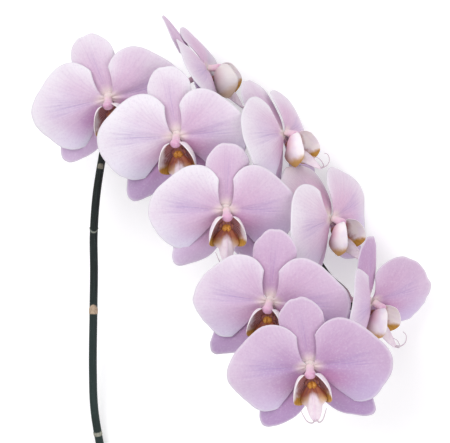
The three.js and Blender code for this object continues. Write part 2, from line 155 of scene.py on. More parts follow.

# The nine blooms from the cut end to the tip. at is the centre. turn faces a bloom right, nod faces
# it down the stem and spin rolls it counter-clockwise. chin is how far the lip's middle lobe juts forward,
# blush how deep the bloom's colour is, warm how pink it is and frill how uneven its rims are. left and
# right give each petal's rise, lean and length, and its breadth and square where they differ. dorsal gives
# that sepal's rise, lean and length, and its breadth where that differs, and deepen and rosy how much
# deeper and pinker it is. On bloom 6 they make it paler and pinker, which is painted light where it lies in
# shade.
# lower gives the other two sepals' rise and length, and how much deeper they are, partly painted shade
# where they lie behind the petals. greyed is how grey the lip's side lobes are, and a bloom that has it
# also has its right petal greyer over its lower half. shade is how much painted shade lies in the fold
# of the left petal.
BLOOMS = [
    dict(at=(-70, 75, 35.5), turn=-8, nod=13, spin=15, size=1, chin=-12,
         blush=0.36, warm=0.3, frill=0.004, deepen=0.08, shade=0.7,
         left=(1, -2, 50), right=(-2, 2, 47.5), dorsal=(7, -2, 41), lower=(3, 51)),
    dict(at=(-13, 91.5, 18.5), turn=79, nod=-32, spin=9, size=0.98, chin=12,
         blush=0.5, warm=0.6, frill=0.006, deepen=0.3, greyed=0.6,
         left=(4, 0, 41), right=(13, 6, 46), dorsal=(-2, 0, 44), lower=(0, 42)),
    dict(at=(-28.5, 51.5, 58.5), turn=-9, nod=12, spin=7, size=0.99, chin=24,
         blush=0.3, warm=0.2, frill=0.004, deepen=0.05,
         left=(-2, 3, 49.5), right=(-1, 2, 43.5), dorsal=(3, -4, 43), lower=(-4, 52, 0.35)),
    dict(at=(34, 52.5, 39), turn=58, nod=-17, spin=11, size=0.97, chin=38,
         blush=0.34, warm=0.6, frill=0.005, deepen=0.1,
         left=(-2, 3, 49.5), right=(3, -10, 48.5), dorsal=(-2, -13, 41.5, 1.15), lower=(0, 46)),
    dict(at=(0.5, 7.5, 75), turn=6, nod=12, spin=0, size=0.97, chin=24,
         blush=0.4, warm=0.35, frill=0.004, deepen=0.15,
         left=(0, -2, 47.5), right=(1, 2, 44), dorsal=(-2, -2, 41), lower=(-9, 47, -0.18)),
    # Painted light: this bloom's dorsal sepal is paler and pinker, standing in for light where it lies in the
    # shade of the blooms in front.
    dict(at=(62, 1.5, 49), turn=54, nod=-6, spin=16, size=0.98, chin=38,
         blush=0.33, warm=0.8, frill=0.005, deepen=-0.3, rosy=1,
         left=(0, 6, 49), right=(2, -3, 49), dorsal=(0, -26, 41, 1.45), lower=(0, 47)),
    dict(at=(26.5, -46.5, 92.5), turn=-9, nod=12, spin=-5, size=0.97, chin=24,
         blush=0.54, warm=0.35, frill=0.008, deepen=0.25,
         left=(0, 0, 47), right=(2, 0, 48.5), dorsal=(-1, -6, 44), lower=(-6, 51, 0.12)),
    dict(at=(85.5, -47.5, 70), turn=62, nod=5, spin=14, size=0.93, chin=38,
         blush=0.58, warm=0.4, frill=0.015, deepen=0.45,
         left=(2, 15, 48.5), right=(3, 28, 50, 0.83, -0.05), dorsal=(-1, 6, 43.5), lower=(0, 47)),
    dict(at=(49.5, -83.5, 112), turn=-4, nod=13, spin=7, size=0.98, chin=28,
         blush=0.74, warm=0.15, frill=0.005, deepen=0.05,
         left=(1, -2, 50), right=(-1, 6, 49), dorsal=(4, 0, 42), lower=(-6, 49, 0.05)),
]

# Route of the stem from its cut end, up, over the arch and down to the last bloom
STEM_ROUTE = [
    (-63.3, -202.6, 3), (-67.2, -182.4, -0.4), (-72, -162, -2.9), (-77.3, -136.2, -4.2), (-80.6, -115, -4.2),
    (-81.4, -90.6, -3), (-80.9, -53.8, 0), (-80.5, -30, 2.5), (-80.6, -8.9, 5), (-78.9, 15, 8),
    (-75.4, 37.6, 11), (-71.5, 56, 14), (-63, 68, 15.5), (-50, 75, 15.5), (-36, 77, 15), (-20, 76, 15.5),
    (-3, 72.5, 18), (8, 64.5, 21), (15, 57, 25), (20, 48, 30), (24, 36, 35), (30, 24, 39), (37, 12, 42),
    (44, 0, 44), (51, -13, 43.5), (58, -26, 44.5), (67, -38, 49), (75, -48, 56), (76.5, -59, 60),
    (73, -70, 64),
]
STALK_END_RADIUS = 1.4
STEM_TAPER_START = 0.42
STEM_TAPER_END = 0.95

# The joints on the straight part of the stem: height, how far the pale scale reaches below and above it
# in millimetres, how far its middle reaches up in front and how grey it is. The last one is a weaker patch
# in front, and the others go all round
STEM_JOINTS = [
    dict(height=-130.5, below=1.2, above=1.1, peak=-0.8, grey=0.85),
    dict(height=-54, below=2.6, above=0.6, peak=2.6, grey=0.1),
    dict(height=-4, below=0.45, above=0.35, peak=-2.4, grey=1),
    dict(height=34, below=1.4, above=0.2, peak=1.6, grey=0.6, front=0.62, strength=0.5),
]

# Where each flower stalk leaves the stem, and where it bends towards its bloom
STALKS = [
    ((-71.5, 56, 14), (-69, 70, 20)),
    ((-48, 75.5, 15.5), (-36, 82, 10)),
    ((-28, 76.5, 15), (-17, 58, 24)),
    ((5, 68.5, 20), (18, 56, 22)),
    ((22, 42, 32.5), (12, 19, 43)),
    ((30, 24, 39), (44, 8, 37)),
    ((54, -18.5, 43.5), (38, -38, 58)),
    ((62, -32, 46.5), (72, -41, 55)),
    ((73, -70, 64), (64, -90, 82)),
]

# The flower stalks and their ovaries, the height of the ribs on an ovary and on the stem as shares of the
# radius, and the soft edge of a joint's scale
STALK_RADIUS = 1.25
STALK_INTO_HUB = 1.2
OVARY_RADIUS = 1.9
OVARY_LENGTH = 9
OVARY_RIBS = 0.07
STEM_RIBS = 0.012
SCALE_EDGE = 0.35

# The bract below each stalk: how far it starts before and below the stalk's foot, its length and radius
BRACT_FOOT = 1.2
BRACT_DROP = 0.9
BRACT_LENGTH = 7.2
BRACT_RADIUS = 1.5

# The view, in millimetres: a lens far off on the line through the middle of the picture, square to the
# spray, and the width that the picture spans at a height in the spray
VIEW_DISTANCE = 2050
VIEW_PLANE = 50
PICTURE_WIDTH = 270
SENSOR_WIDTH = 36
CLIP_END = 20

# Place and width of the broad lights, in metres, and the place they point at
KEY_LIGHT = ((-0.6, 0.6, 1.8), 1.8)
FILL_LIGHT = ((1.2, -0.7, 1.3), 1.4)
LIGHT_AIM = (0, 0, 0.05)
WHITE = (1, 1, 1, 1)

# Tints that go with the colours in the settings, by where they show
TINTS = dict(
    rosy="daabc6", violet="b9abd8", cool="bab0dc", greyish="c6cbc9",
    ear_flush="e2d2e8", ear_root_shade="b5877a", ear_pink="dc9fb0", greyish_ear="cfc8c4",
    gold_stripe="8f5a2c", amber="b5743c", maroon="7c3a34",
    tip_mottle="dcc3d8", tip_line="d3b0cb", lip_root="9c5a3e", lip_stripe="7a3339", tendril="b7a9b0",
    wart="b8782e", wart_light="dba04a", wart_dot="7a3a2c", throat_floor="94595a", throat_stripe="b8805c",
    column_root="e6cdd0", column_middle="e6c2d4", column_mottle="f0d9e4",
    stem_fleck="5d6e68", stem_groove="3a4c4a", dry_fleck="6a5d50",
    stalk_foot="3d3c3e", stalk_fleck="6f6a5c", bract="6e5d50",
)


def tint(code):
    """A colour such as e6d2e6 as linear red, green, blue and alpha."""
    parts = [int(code[i:i + 2], 16) / 255 for i in (0, 2, 4)]
    return tuple(c / 12.92 if c <= 0.04045 else ((c + 0.055) / 1.055) ** 2.4 for c in parts) + (1.0,)


def colour_property(name, description, code):
    """A colour setting with its default."""
    return FloatVectorProperty(name=name, description=description, subtype="COLOR", size=4, min=0, max=1,
                               default=tint(code))


def number_property(name, description, value, least, kind="NONE"):
    """A number setting with its default, least value and unit."""
    return FloatProperty(name=name, description=description, default=value, min=least, unit=kind)


class OrchidTepalSettings(bpy.types.PropertyGroup):
    """Sizes and colours of the petals and sepals."""

    thickness: number_property("Thickness", "Thickness of a petal near its root, in millimetres", 0.9, 0.3)
    rays: IntProperty(name="Rays", description="Columns of faces across a petal", default=52, min=8)
    rings: IntProperty(name="Rings", description="Rows of faces along a petal", default=30, min=6)
    pale: colour_property("Pale", "Outer part of a petal", "e6e1e9")
    lilac: colour_property("Lilac", "Middle of a petal", "ccb3cd")
    deep: colour_property("Deep", "Deepest blush of a petal", "9f78a8")
    # Pink on the lower inner half of a petal is partly the petal's own colour and partly painted shade where
    # it curves back by the lip.
    pink: colour_property("Pink", "Lower inner part of a petal", "bd82ab")
    vein: colour_property("Vein", "Veins and middle streak", "987fb4")
    claw: colour_property("Claw", "Narrow root of a petal", "f3e6da")
    behind: colour_property("Behind", "Back of a petal", "e3dfe6")


class OrchidLipSettings(bpy.types.PropertyGroup):
    """Sizes and colours of the lip and the column."""

    thickness: number_property("Thickness", "Thickness of a lobe near its root, in millimetres", 0.9, 0.3)
    ear: colour_property("Ear", "Outside of a side lobe", "f3ecee")
    gold: colour_property("Gold", "Lower rim of a side lobe and the callus", "c1913f")
    throat: colour_property("Throat", "Inside of the lip", "b58286")
    tip: colour_property("Tip", "Middle lobe towards its tip", "ebdde6")
    column: colour_property("Column", "Cap of the column", "d59fc2")


class OrchidStemSettings(bpy.types.PropertyGroup):
    """Sizes and colours of the stem and the flower stalks."""

    radius: number_property("Radius", "Radius of the stem at its cut end, in millimetres", 2.5, 1)
    scale_rise: number_property("Scale rise", "How far a joint's scale stands out, in millimetres", 0.3, 0)
    green: colour_property("Green", "Stem", "1d2d2b")
    dark: colour_property("Dark", "Darkest part of the stem", "090f0e")
    scale: colour_property("Scale", "Dry scales at the joints and bracts", "b89f86")
    old_scale: colour_property("Old scale", "Greyer scales near the cut end", "8e968c")
    cut: colour_property("Cut", "Face of the cut end", "b9c293")
    stalk: colour_property("Stalk", "Flower stalk next to its bloom", "b48fa0")


class OrchidStageSettings(bpy.types.PropertyGroup):
    """Floor, light and camera."""

    floor: colour_property("Floor", "Surface that the stem lies on", "fafafb")
    floor_glow: number_property("Floor glow", "Strength of the light that the floor gives off", 0.15, 0)
    floor_size: number_property("Floor size", "Side of the floor", 6, 1, "LENGTH")
    key_power: number_property("Key light", "Power of the key light", 19, 0, "POWER")
    fill_power: number_property("Fill light", "Power of the fill light", 10, 0, "POWER")
    sky: number_property("Sky", "Strength of the even light from all round", 0.66, 0)


def maths(operation, reflected=False):
    """A method that adds a Math node to work on a value, and on another one if it needs that."""
    def method(self, *other):
        terms = (*other, self) if reflected else (self, *other)
        node = self.finish.node("ShaderNodeMath", {"operation": operation}, dict(enumerate(terms)))
        return Value(self.finish, node.outputs[0])
    return method


class Value:
    """A number that varies over a surface. Arithmetic on it adds Math nodes."""

    __add__ = __radd__ = maths("ADD")
    __mul__ = __rmul__ = maths("MULTIPLY")
    __sub__ = maths("SUBTRACT")
    __rsub__ = maths("SUBTRACT", reflected=True)
    __pow__ = maths("POWER")
    sin = maths("SINE")
    size = maths("ABSOLUTE")
    most = maths("MAXIMUM")

    def __init__(self, finish, socket):
        self.finish = finish
        self.socket = socket

    def rise(self, low, high):
        """0 below low and 1 above high, with a smooth step between. A high below low turns it round."""
        node = self.finish.node("ShaderNodeMapRange", {"interpolation_type": "SMOOTHSTEP"}, {
            "Value": self, "From Min": min(low, high), "From Max": max(low, high),
            "To Min": float(low > high), "To Max": float(low < high)})
        return Value(self.finish, node.outputs[0])

    def bell(self, middle, width):
        """1 where the value is middle, falling off smoothly within width on both sides."""
        return (self - middle).size().rise(width, 0)


class Finish:
    """A procedural material with its nodes."""

    def __init__(self, name, **constants):
        self.material = bpy.data.materials.new(name)
        self.material.use_nodes = True
        self.tree = self.material.node_tree
        self.shader = self.tree.nodes["Principled BSDF"]
        for socket, value in constants.items():
            self.shader.inputs[socket.replace("_", " ")].default_value = value

    def node(self, kind, settings, inputs):
        """Adds a node of a type, with its settings set first and then its socket values or links."""
        node = self.tree.nodes.new(kind)
        for name, value in settings.items():
            setattr(node, name, value)
        for name, value in inputs.items():
            self.feed(node.inputs[name], value)
        return node

    def feed(self, socket, value):
        """Links or sets one socket. A word is one of the tints."""
        if isinstance(value, Value):
            value = value.socket
        if isinstance(value, bpy.types.NodeSocket):
            self.tree.links.new(value, socket)
        else:
            socket.default_value = tint(TINTS[value]) if isinstance(value, str) else value

    def layers(self, *names):
        """Numbers stored on the mesh."""
        nodes = [self.node("ShaderNodeAttribute", {"attribute_name": name}, {}) for name in names]
        return [Value(self, node.outputs["Fac"]) for node in nodes]

    def place(self):
        """Position on the object in metres."""
        return self.node("ShaderNodeTexCoord", {}, {}).outputs["Object"]

    def join(self, x, y, z):
        """A vector from three numbers."""
        return self.node("ShaderNodeCombineXYZ", {}, {0: x, 1: y, 2: z}).outputs[0]

    def noise(self, scale, detail=2.0, roughness=0.5, vector=None):
        """Soft noise from 0 to 1, over the object or over a vector."""
        vector = self.place() if vector is None else vector
        node = self.node("ShaderNodeTexNoise", {}, {
            "Vector": vector, "Scale": scale, "Detail": detail, "Roughness": roughness})
        return Value(self, node.outputs[0])

    def cells(self, scale):
        """Distance from the middle of small cells."""
        node = self.node("ShaderNodeTexVoronoi", {}, {"Vector": self.place(), "Scale": scale})
        return Value(self, node.outputs["Distance"])

    def mix(self, share, low, high):
        """A colour between two colours."""
        node = self.node("ShaderNodeMix", {"data_type": "RGBA"}, {0: share, 6: low, 7: high})
        return node.outputs[2]

    def paint(self, body, *coats):
        """Lays colours over a first one in turn, each with its share."""
        for share, coat in coats:
            body = self.mix(share, body, coat)
        return body

    def surface(self, colour, roughness, height, strength, depth):
        """Sets colour, roughness and relief finer than the mesh, with its depth in metres."""
        relief = self.node("ShaderNodeBump", {}, {"Height": height, "Strength": strength, "Distance": depth})
        self.feed(self.shader.inputs["Base Color"], colour)
        self.feed(self.shader.inputs["Roughness"], roughness)
        self.feed(self.shader.inputs["Normal"], relief.outputs[0])
        return self.material


def lines(across, count, wander, sharpness):
    """Fine lines along a blade: count of them across it, bent sideways by wander."""
    wave = ((across * (math.pi * count) + wander).sin() + 1) * 0.5
    return wave ** sharpness


def tepal_finish(settings):
    """Pale lilac petal tissue, deeper at its middle streak and veins and creamy at its root."""
    finish = Finish("Orchid tepal", IOR=1.38, Specular_IOR_Level=0.35, Subsurface_Weight=0.12,
                    Subsurface_Radius=(0.004, 0.0025, 0.0035), Sheen_Weight=0.12, Sheen_Roughness=0.4)
    across, along, up, face, blush, warm, middle, grey = finish.layers(
        "across", "along", "up", "face", "blush", "warm", "streak", "grey")
    cloud = finish.noise(45, 3)
    mottle = finish.noise(800, 4, 0.6)
    wander = (finish.noise(130) - 0.5) * 2.6
    streaks = finish.noise(1, 3, 0.62, finish.join(across * 26, along * 2.2, up))
    beyond_claw = along.rise(0.08, 0.3)
    # The lower half turns deeper and pinker towards the root, partly in its own colour and partly as painted
    # shade where it curves back near the lip.
    lower = up.rise(-0.1, -0.7) * along.rise(1, 0.4)
    depth = (blush + (cloud - 0.5) * 0.45 + (streaks - 0.5) * 0.16 + (0.6 - along) * 0.56 + lower * 0.2
             - across.size().rise(0.5, 1) * 0.1)
    streak = across.bell(0, 0.24) * beyond_claw * along.rise(0.88, 0.5) * middle
    main_veins = lines(across, 15, wander, 7) * along.rise(0.1, 0.3) * along.rise(1.02, 0.5)
    fine_veins = lines(across, 33, wander * 1.6, 5) * along.rise(0.35, 0.6) * along.rise(1.05, 0.75)
    veins = main_veins.most(fine_veins * 0.7)
    tissue = finish.paint(
        settings.pale,
        (depth.rise(0, 0.62), settings.lilac),
        (depth.rise(0.45, 1.25), settings.deep),
        (warm * (0.35 + cloud * 0.6) * along.rise(1.25, 0.3) * 0.8, "rosy"),
        (lower * beyond_claw * 0.5, settings.pink),
        (streak * streaks.rise(0.35, 0.75) * 0.6, settings.vein),
        (veins * (0.1 + streak * 0.2), settings.vein),
        (across.bell(0.06, 0.5) * along.bell(0.55, 0.42) * middle * cloud * 0.3, "violet"),
        (up.rise(0, -0.7) * along.rise(0.35, 0.85) * 0.4, "cool"),
        (along.rise(0.24, 0.05) * 0.7, settings.claw),
        (mottle.rise(0.5, 0.75) * 0.2, settings.pale),
        (mottle.rise(0.5, 0.28) * 0.14, settings.deep),
        (grey, "greyish"),
        (along.rise(0.95, 1) * 0.5, settings.pale))
    back = finish.mix(0.7, tissue, settings.behind)
    grain = finish.cells(2600) * 0.35 + finish.noise(1500) * 0.35
    return finish.surface(finish.mix(face, back, tissue), 0.44 + mottle * 0.18,
                          grain - veins * 0.35 + streaks * 0.3, 0.4, 0.00025)


def side_lobe_finish(settings):
    """White ears with a pink flush, gold at their lower rim and striped maroon inside at the root."""
    finish = Finish("Orchid side lobe", IOR=1.4, Subsurface_Weight=0.1,
                    Subsurface_Radius=(0.003, 0.002, 0.002))
    across, along, up, face, grey = finish.layers("across", "along", "up", "face", "grey")
    mottle = finish.noise(500, 3)
    flush = finish.mix(finish.noise(150).rise(0.42, 0.7) * 0.45, settings.ear, "ear_flush")
    high = up + (mottle - 0.5) * 0.16
    # Painted shade: the outside of an ear turns brown towards its root and its lower back edge, where it sits
    # against the petals.
    root = (across * 0.7 - along * 0.6 + 1).rise(0.5, 1.05)
    outside = finish.paint(
        flush,
        (root * high.rise(1, 0.5) * 0.85, "ear_root_shade"),
        ((1.3 - along).rise(0.5, 1) * high.rise(0.5, 1) * 0.65, "ear_pink"),
        (grey, "greyish_ear"),
        (high.rise(0.5, 0.16) * (0.95 - grey * 0.75), settings.gold))
    stripes = lines(across, 15, (mottle - 0.5) * 5, 2)
    rim = finish.mix(high.rise(0.48, 0.28), flush, finish.mix(stripes * 0.3, settings.gold, "gold_stripe"))
    deep = finish.paint(
        settings.throat,
        (high.rise(0.62, 0.3), "amber"),
        (stripes * along.rise(0.7, 0.3) * 0.85, "maroon"))
    lower = high.rise(0.75, 0.45) * 0.22
    inside = finish.mix((along - lower + (mottle - 0.5) * 0.14).rise(0.56, 0.3), rim, deep)
    return finish.surface(finish.mix(face, outside, inside), 0.38 + mottle * 0.2,
                          finish.noise(1300, 3) - stripes * 0.2, 0.4, 0.0002)


def mid_lobe_finish(settings):
    """Middle lobe: magenta and maroon at its root, gold at its corners and pale towards its tip."""
    finish = Finish("Orchid middle lobe", IOR=1.4, Subsurface_Weight=0.1,
                    Subsurface_Radius=(0.003, 0.002, 0.002))
    across, up, face, grey = finish.layers("across", "up", "face", "grey")
    mottle = finish.noise(450, 3)
    width = across.size()
    reach = up + (mottle - 0.5) * 0.14
    stripes = lines(across, 9, (mottle - 0.5) * 4, 2)
    gold = finish.mix(stripes * 0.4, settings.gold, "gold_stripe")
    root = finish.mix(stripes * 0.7, "lip_root", "lip_stripe")
    body = finish.paint(
        settings.tip,
        (mottle.rise(0.4, 0.7) * 0.5, "tip_mottle"),
        (across.bell(0, 0.2) * 0.3, "tip_line"),
        (width.rise(0.38, 0.85) * reach.rise(0.62, 0.42), gold),
        ((reach - width * 0.1).rise(0.42, 0.2), root),
        (grey, "tendril"))
    return finish.surface(finish.mix(face, finish.mix(0.6, body, settings.tip), body), 0.4 + mottle * 0.2,
                          finish.noise(1200, 3), 0.35, 0.0002)


def callus_finish():
    """Golden warts with small red spots, on a striped maroon throat."""
    finish = Finish("Orchid callus", IOR=1.42, Subsurface_Weight=0.08,
                    Subsurface_Radius=(0.002, 0.001, 0.001))
    throat, across = finish.layers("scale", "across")
    mottle = finish.noise(700, 3)
    dots = finish.cells(900).rise(0.28, 0.18)
    striped = finish.mix(lines(across, 1.1, mottle * 2, 2) * 0.6, "throat_floor", "throat_stripe")
    body = finish.paint(
        "wart", (mottle.rise(0.35, 0.7), "wart_light"), (dots * 0.85, "wart_dot"), (throat, striped))
    return finish.surface(body, 0.35 + mottle * 0.2, mottle, 0.5, 0.0003)


def column_finish(settings):
    """Waxy column, cream at its root and pink at its cap."""
    finish = Finish("Orchid column", IOR=1.42, Subsurface_Weight=0.15,
                    Subsurface_Radius=(0.003, 0.0015, 0.002))
    along, = finish.layers("along")
    mottle = finish.noise(600, 3)
    body = finish.paint(
        "column_root",
        (along.rise(0.05, 0.45), "column_middle"),
        (along.rise(0.5, 0.95) * 0.9, settings.column),
        (mottle.rise(0.4, 0.75) * 0.35, "column_mottle"))
    return finish.surface(body, 0.3 + mottle * 0.2, finish.noise(1200), 0.25, 0.00015)


def stem_finish(settings):
    """Dark waxy green with fine grooves and pale flecks, tan at its rings and pale at its cut."""
    finish = Finish("Orchid stem", IOR=1.4, Specular_IOR_Level=0.35, Coat_Weight=0.04, Coat_Roughness=0.35)
    along, scale, grey, cut, around = finish.layers("along", "scale", "grey", "cut", "around")
    cloud = finish.noise(60, 3)
    fleck = finish.noise(900, 3, 0.65)
    groove = finish.noise(1, 3, vector=finish.join(around * 7, along * 40, 0))
    dry = finish.paint(
        settings.scale, (grey, settings.old_scale), (fleck.rise(0.45, 0.65) * 0.6, "dry_fleck"))
    body = finish.paint(
        settings.green,
        (along.rise(0.18, 0.5), settings.dark),
        (cloud.rise(0.4, 0.75) * 0.5, settings.dark),
        (fleck.rise(0.58, 0.74) * 0.25, "stem_fleck"),
        (groove.rise(0.5, 0.8) * 0.3, "stem_groove"),
        (scale, dry),
        (cut, settings.cut))
    return finish.surface(body, 0.42 + fleck * 0.25, groove + fleck * 0.5, 0.5, 0.0003)


def stalk_finish(settings):
    """Flower stalk: dark purple green at the stem, dusky pink and ribbed next to the bloom."""
    finish = Finish("Orchid flower stalk", IOR=1.4, Subsurface_Weight=0.05,
                    Subsurface_Radius=(0.002, 0.001, 0.001))
    along, scale = finish.layers("along", "scale")
    fleck = finish.noise(700, 3)
    body = finish.paint(
        "stalk_foot",
        (along.rise(0.1, 0.85), settings.stalk),
        (fleck.rise(0.45, 0.7) * 0.4, "stalk_fleck"),
        (scale * 0.7, "bract"))
    return finish.surface(body, 0.45 + fleck * 0.2, fleck, 0.4, 0.0002)


def plain_stage_finish(settings):
    """Matt pale paper floor that gives off a little light, painted light that lifts the shadows on it as a
    light table does.
    """
    return Finish("Studio floor", Base_Color=settings.floor, Roughness=0.9, Specular_IOR_Level=0.1,
                  Emission_Color=WHITE, Emission_Strength=settings.floor_glow).material


class Cast:
    """Points, faces and surface numbers of one piece while it is put together."""

    LAYERS = ("across", "along", "up", "face", "blush", "warm", "streak", "scale", "grey", "cut", "around")

    def __init__(self):
        self.points, self.faces, self.count = [], [], 0
        self.layers = {name: [] for name in self.LAYERS}

    def add(self, body, matrix=Matrix(), **own):
        """Adds a body: its points (n, 3), its faces as lists of point numbers and its layers.

        The matrix moves it. Layers named in the call go before the body's, and one that has none is 0.
        """
        points, faces, layers = body
        self.points.append(moved(points, matrix))
        self.faces.extend([point + self.count for point in face] for face in faces)
        layers = {**layers, **own}
        for name, parts in self.layers.items():
            parts.append(np.broadcast_to(np.asarray(layers.get(name, 0), float), (len(points),)))
        self.count += len(points)

    def build(self, name, material, nodes):
        """Makes the object, in metres on the ground, riding on the root and standing for its nodes."""
        points = moved(np.vstack(self.points), spray_matrix())
        points[:, 2] = np.maximum(points[:, 2], 0)
        mesh = bpy.data.meshes.new(name)
        mesh.from_pydata(points.tolist(), [], self.faces)
        mesh.shade_smooth()
        for layer, parts in self.layers.items():
            values = np.concatenate(parts)
            if np.ptp(values) > 0 or values[0] != 0:
                attribute = mesh.attributes.new(layer, "FLOAT", "POINT")
                attribute.data.foreach_set("value", values.astype(np.float32))
        mesh.materials.append(material)
        mesh.validate()
        piece = bpy.data.objects.new(name, mesh)
        bpy.context.scene.collection.objects.link(piece)
        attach(piece, "root")
        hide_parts(*nodes)


def turned(degrees, axis):
    """A turn about an axis."""
    return Matrix.Rotation(math.radians(degrees), 4, axis)


def spray_matrix():
    """Turns the spray's own frame, in millimetres, into the ground's frame, in metres."""
    lean = turned(LEAN_ALONG, "X") @ turned(LEAN_ACROSS, "Y")
    return Matrix.Scale(MM, 4) @ Matrix.Translation(GROUND_SHIFT) @ lean


def moved(points, matrix):
    """Points after a 4x4 matrix."""
    matrix = np.array(matrix)
    return points @ matrix[:3, :3].T + matrix[:3, 3]


def unit(vector):
    """A vector in the same direction, of length 1."""
    return vector / np.linalg.norm(vector)


def ring_angles(sides):
    """Even angles all round."""
    return np.linspace(0, 2 * math.pi, sides, endpoint=False)


def bloom_matrix(bloom):
    """Turns a bloom's own frame into the spray's frame."""
    turn = turned(bloom["turn"], "Y") @ turned(bloom["nod"], "X") @ turned(bloom["spin"], "Z")
    return Matrix.Translation(bloom["at"]) @ turn @ Matrix.Scale(bloom["size"], 4)


def blade(outline, relief, rays, rings, thickness, mirror=1, phase=0, taper=0.55, pleat=0.0):
    """One blade, rooted at the origin and growing along y with its face towards z.

    Gives its points, its faces and the layers across, along, up and face.
    """
    side = np.linspace(-1, 1, rays + 1)[None, :]
    along = ((np.arange(1, rings + 1) / rings) ** ROW_SPREAD)[:, None]
    sweep = np.where(side * mirror > 0, outline["upper"], outline["lower"])
    angle = np.radians(side * sweep)
    outer = np.cos(angle) > 0
    rounded = 1 - outline["square"] * np.where(outer, np.sin(2 * angle) ** 2, 0)
    middle = outline["widest"] * outline["length"]
    reach = np.where(outer, outline["length"] - middle, middle * ROOT_DEPTH)
    edge_y = middle + reach * rounded * np.cos(angle)
    narrow = np.clip((edge_y / outline["length"] - WAIST_START) / WAIST_LENGTH, 0, 1)
    edge_x = outline["width"] / 2 * rounded * np.sin(angle)
    edge_x = edge_x * (1 - outline["waist"] * narrow ** 2 * (3 - 2 * narrow))
    upper = np.maximum(0, side * mirror)
    x = edge_x * along ** outline["claw"]
    y = edge_y * along ** (1 - outline["neck"] * upper ** 4) - outline["shear"] * mirror * x * along
    y = y - outline["notch"] * np.exp(-(side / NOTCH_WIDTH) ** 2) * along ** 6
    frill = sum(high * np.sin(count * side + shift * phase) for count, high, shift in FRILL)
    stretch = 1 + relief["frill"] * frill * along ** 5
    x, y = x * stretch, y * stretch
    height = relief["bulge"] * np.sin(math.pi * along ** 0.8) * np.cos(side * 1.2)
    height = height - relief["bend"] * along ** 2 - relief["roll"] * (side * along) ** 2
    height = height - relief["crease"] * np.exp(-(side / CREASE_WIDTH) ** 2) * np.sin(math.pi * along)
    height = height + relief["wave"] * along ** 3 * np.sin(relief["waves"] * math.pi * side + phase)
    height = height + relief["lift"] * upper ** 4 * along ** 2
    fold = np.abs(np.sin(along * math.pi)) ** 0.7 * np.exp(-(along / 0.75) ** 2)
    height = height + pleat * fold * np.cos(side * PLEATS + phase)
    half = thickness / 2 * (1 - taper * along ** 3)
    x, y, height, half, across = (np.broadcast_to(a, (rings, rays + 1)) for a in (x, y, height, half, side))
    front = np.stack([x, y, height + half], axis=-1).reshape(-1, 3)
    back = np.stack([x, y, height - half], axis=-1).reshape(-1, 3)
    points = np.vstack([[0, 0, thickness / 2], front, [0, 0, -thickness / 2], back])
    shift = len(points) // 2
    across = np.tile(np.append(0, across), 2)
    along = np.tile(np.append(0, np.repeat(along, rays + 1)), 2)
    layers = dict(across=across, along=along, up=across * mirror, face=np.repeat([1, 0], shift))
    return points, blade_faces(rays, rings, shift), layers


def blade_faces(rays, rings, shift):
    """Faces of a blade's front, back and rim. The back's points follow the front's, shift later."""
    at = lambda ring, ray: 0 if ring == 0 else 1 + (ring - 1) * (rays + 1) + ray
    front = [(0, at(1, ray + 1), at(1, ray)) for ray in range(rays)]
    front += [(at(ring, ray), at(ring, ray + 1), at(ring + 1, ray + 1), at(ring + 1, ray))
              for ring in range(1, rings) for ray in range(rays)]
    back = [[point + shift for point in reversed(face)] for face in front]
    rim = [(at(rings, ray), at(rings, ray + 1)) for ray in range(rays)]
    rim += [(at(ring + 1, rays), at(ring, rays)) for ring in range(rings)]
    rim += [(at(ring, 0), at(ring + 1, 0)) for ring in range(rings)]
    return front + back + [(low, high, high + shift, low + shift) for low, high in rim]


def placed(points, direction, lean, layer):
    """Leans a blade forward about a line just outside the hub, points it and lifts it to its layer."""
    step = (Matrix.Translation((0, 0, layer)) @ turned(direction - 90, "Z")
            @ Matrix.Translation((0, LEAN_PIVOT, 0)) @ turned(lean, "X")
            @ Matrix.Translation((0, -LEAN_PIVOT, 0)))
    return moved(points, step)


def ball(radii, place, columns=32, rows=20, shape=lambda ways: ways):
    """A closed round body. shape changes its unit directions before they are scaled."""
    u = ring_angles(columns)
    v = np.linspace(0, math.pi, rows + 1)[1:-1, None]
    grid = np.stack(np.broadcast_arrays(np.sin(v) * np.cos(u), np.sin(v) * np.sin(u), np.cos(v)), axis=-1)
    ways = shape(np.vstack([[0, 0, 1], grid.reshape(-1, 3), [0, 0, -1]]))
    at = lambda row, column: 1 + row * columns + column % columns
    last = 1 + (rows - 1) * columns
    faces = []
    for column in range(columns):
        faces.append((0, at(0, column), at(0, column + 1)))
        faces.append((last, at(rows - 2, column + 1), at(rows - 2, column)))
        for row in range(rows - 2):
            faces.append((at(row, column), at(row + 1, column), at(row + 1, column + 1), at(row, column + 1)))
    return ways * radii + place, faces, {}


def curve_points(route, steps):
    """Points at even distances on the smooth curve through a route."""
    route = np.asarray(route, float)
    ends = np.vstack([2 * route[0] - route[1], route, 2 * route[-1] - route[-2]])
    dense = []
    for p0, p1, p2, p3 in zip(ends, ends[1:], ends[2:], ends[3:]):
        d0, d1, d2 = (math.sqrt(np.linalg.norm(b - a)) for a, b in ((p0, p1), (p1, p2), (p2, p3)))
        start = ((p1 - p0) / d0 - (p2 - p0) / (d0 + d1) + (p2 - p1) / d1) * d1
        stop = ((p2 - p1) / d1 - (p3 - p1) / (d1 + d2) + (p3 - p2) / d2) * d1
        t = np.linspace(0, 1, 60, endpoint=False)[:, None]
        dense.append(p1 + start * t + (3 * (p2 - p1) - 2 * start - stop) * t ** 2
                     + (2 * (p1 - p2) + start + stop) * t ** 3)
    dense = np.vstack(dense + [route[-1:]])
    reach = np.concatenate([[0], np.cumsum(np.linalg.norm(np.diff(dense, axis=0), axis=1))])
    even = np.linspace(0, reach[-1], steps + 1)
    return np.stack([np.interp(even, reach, dense[:, axis]) for axis in range(3)], axis=1)


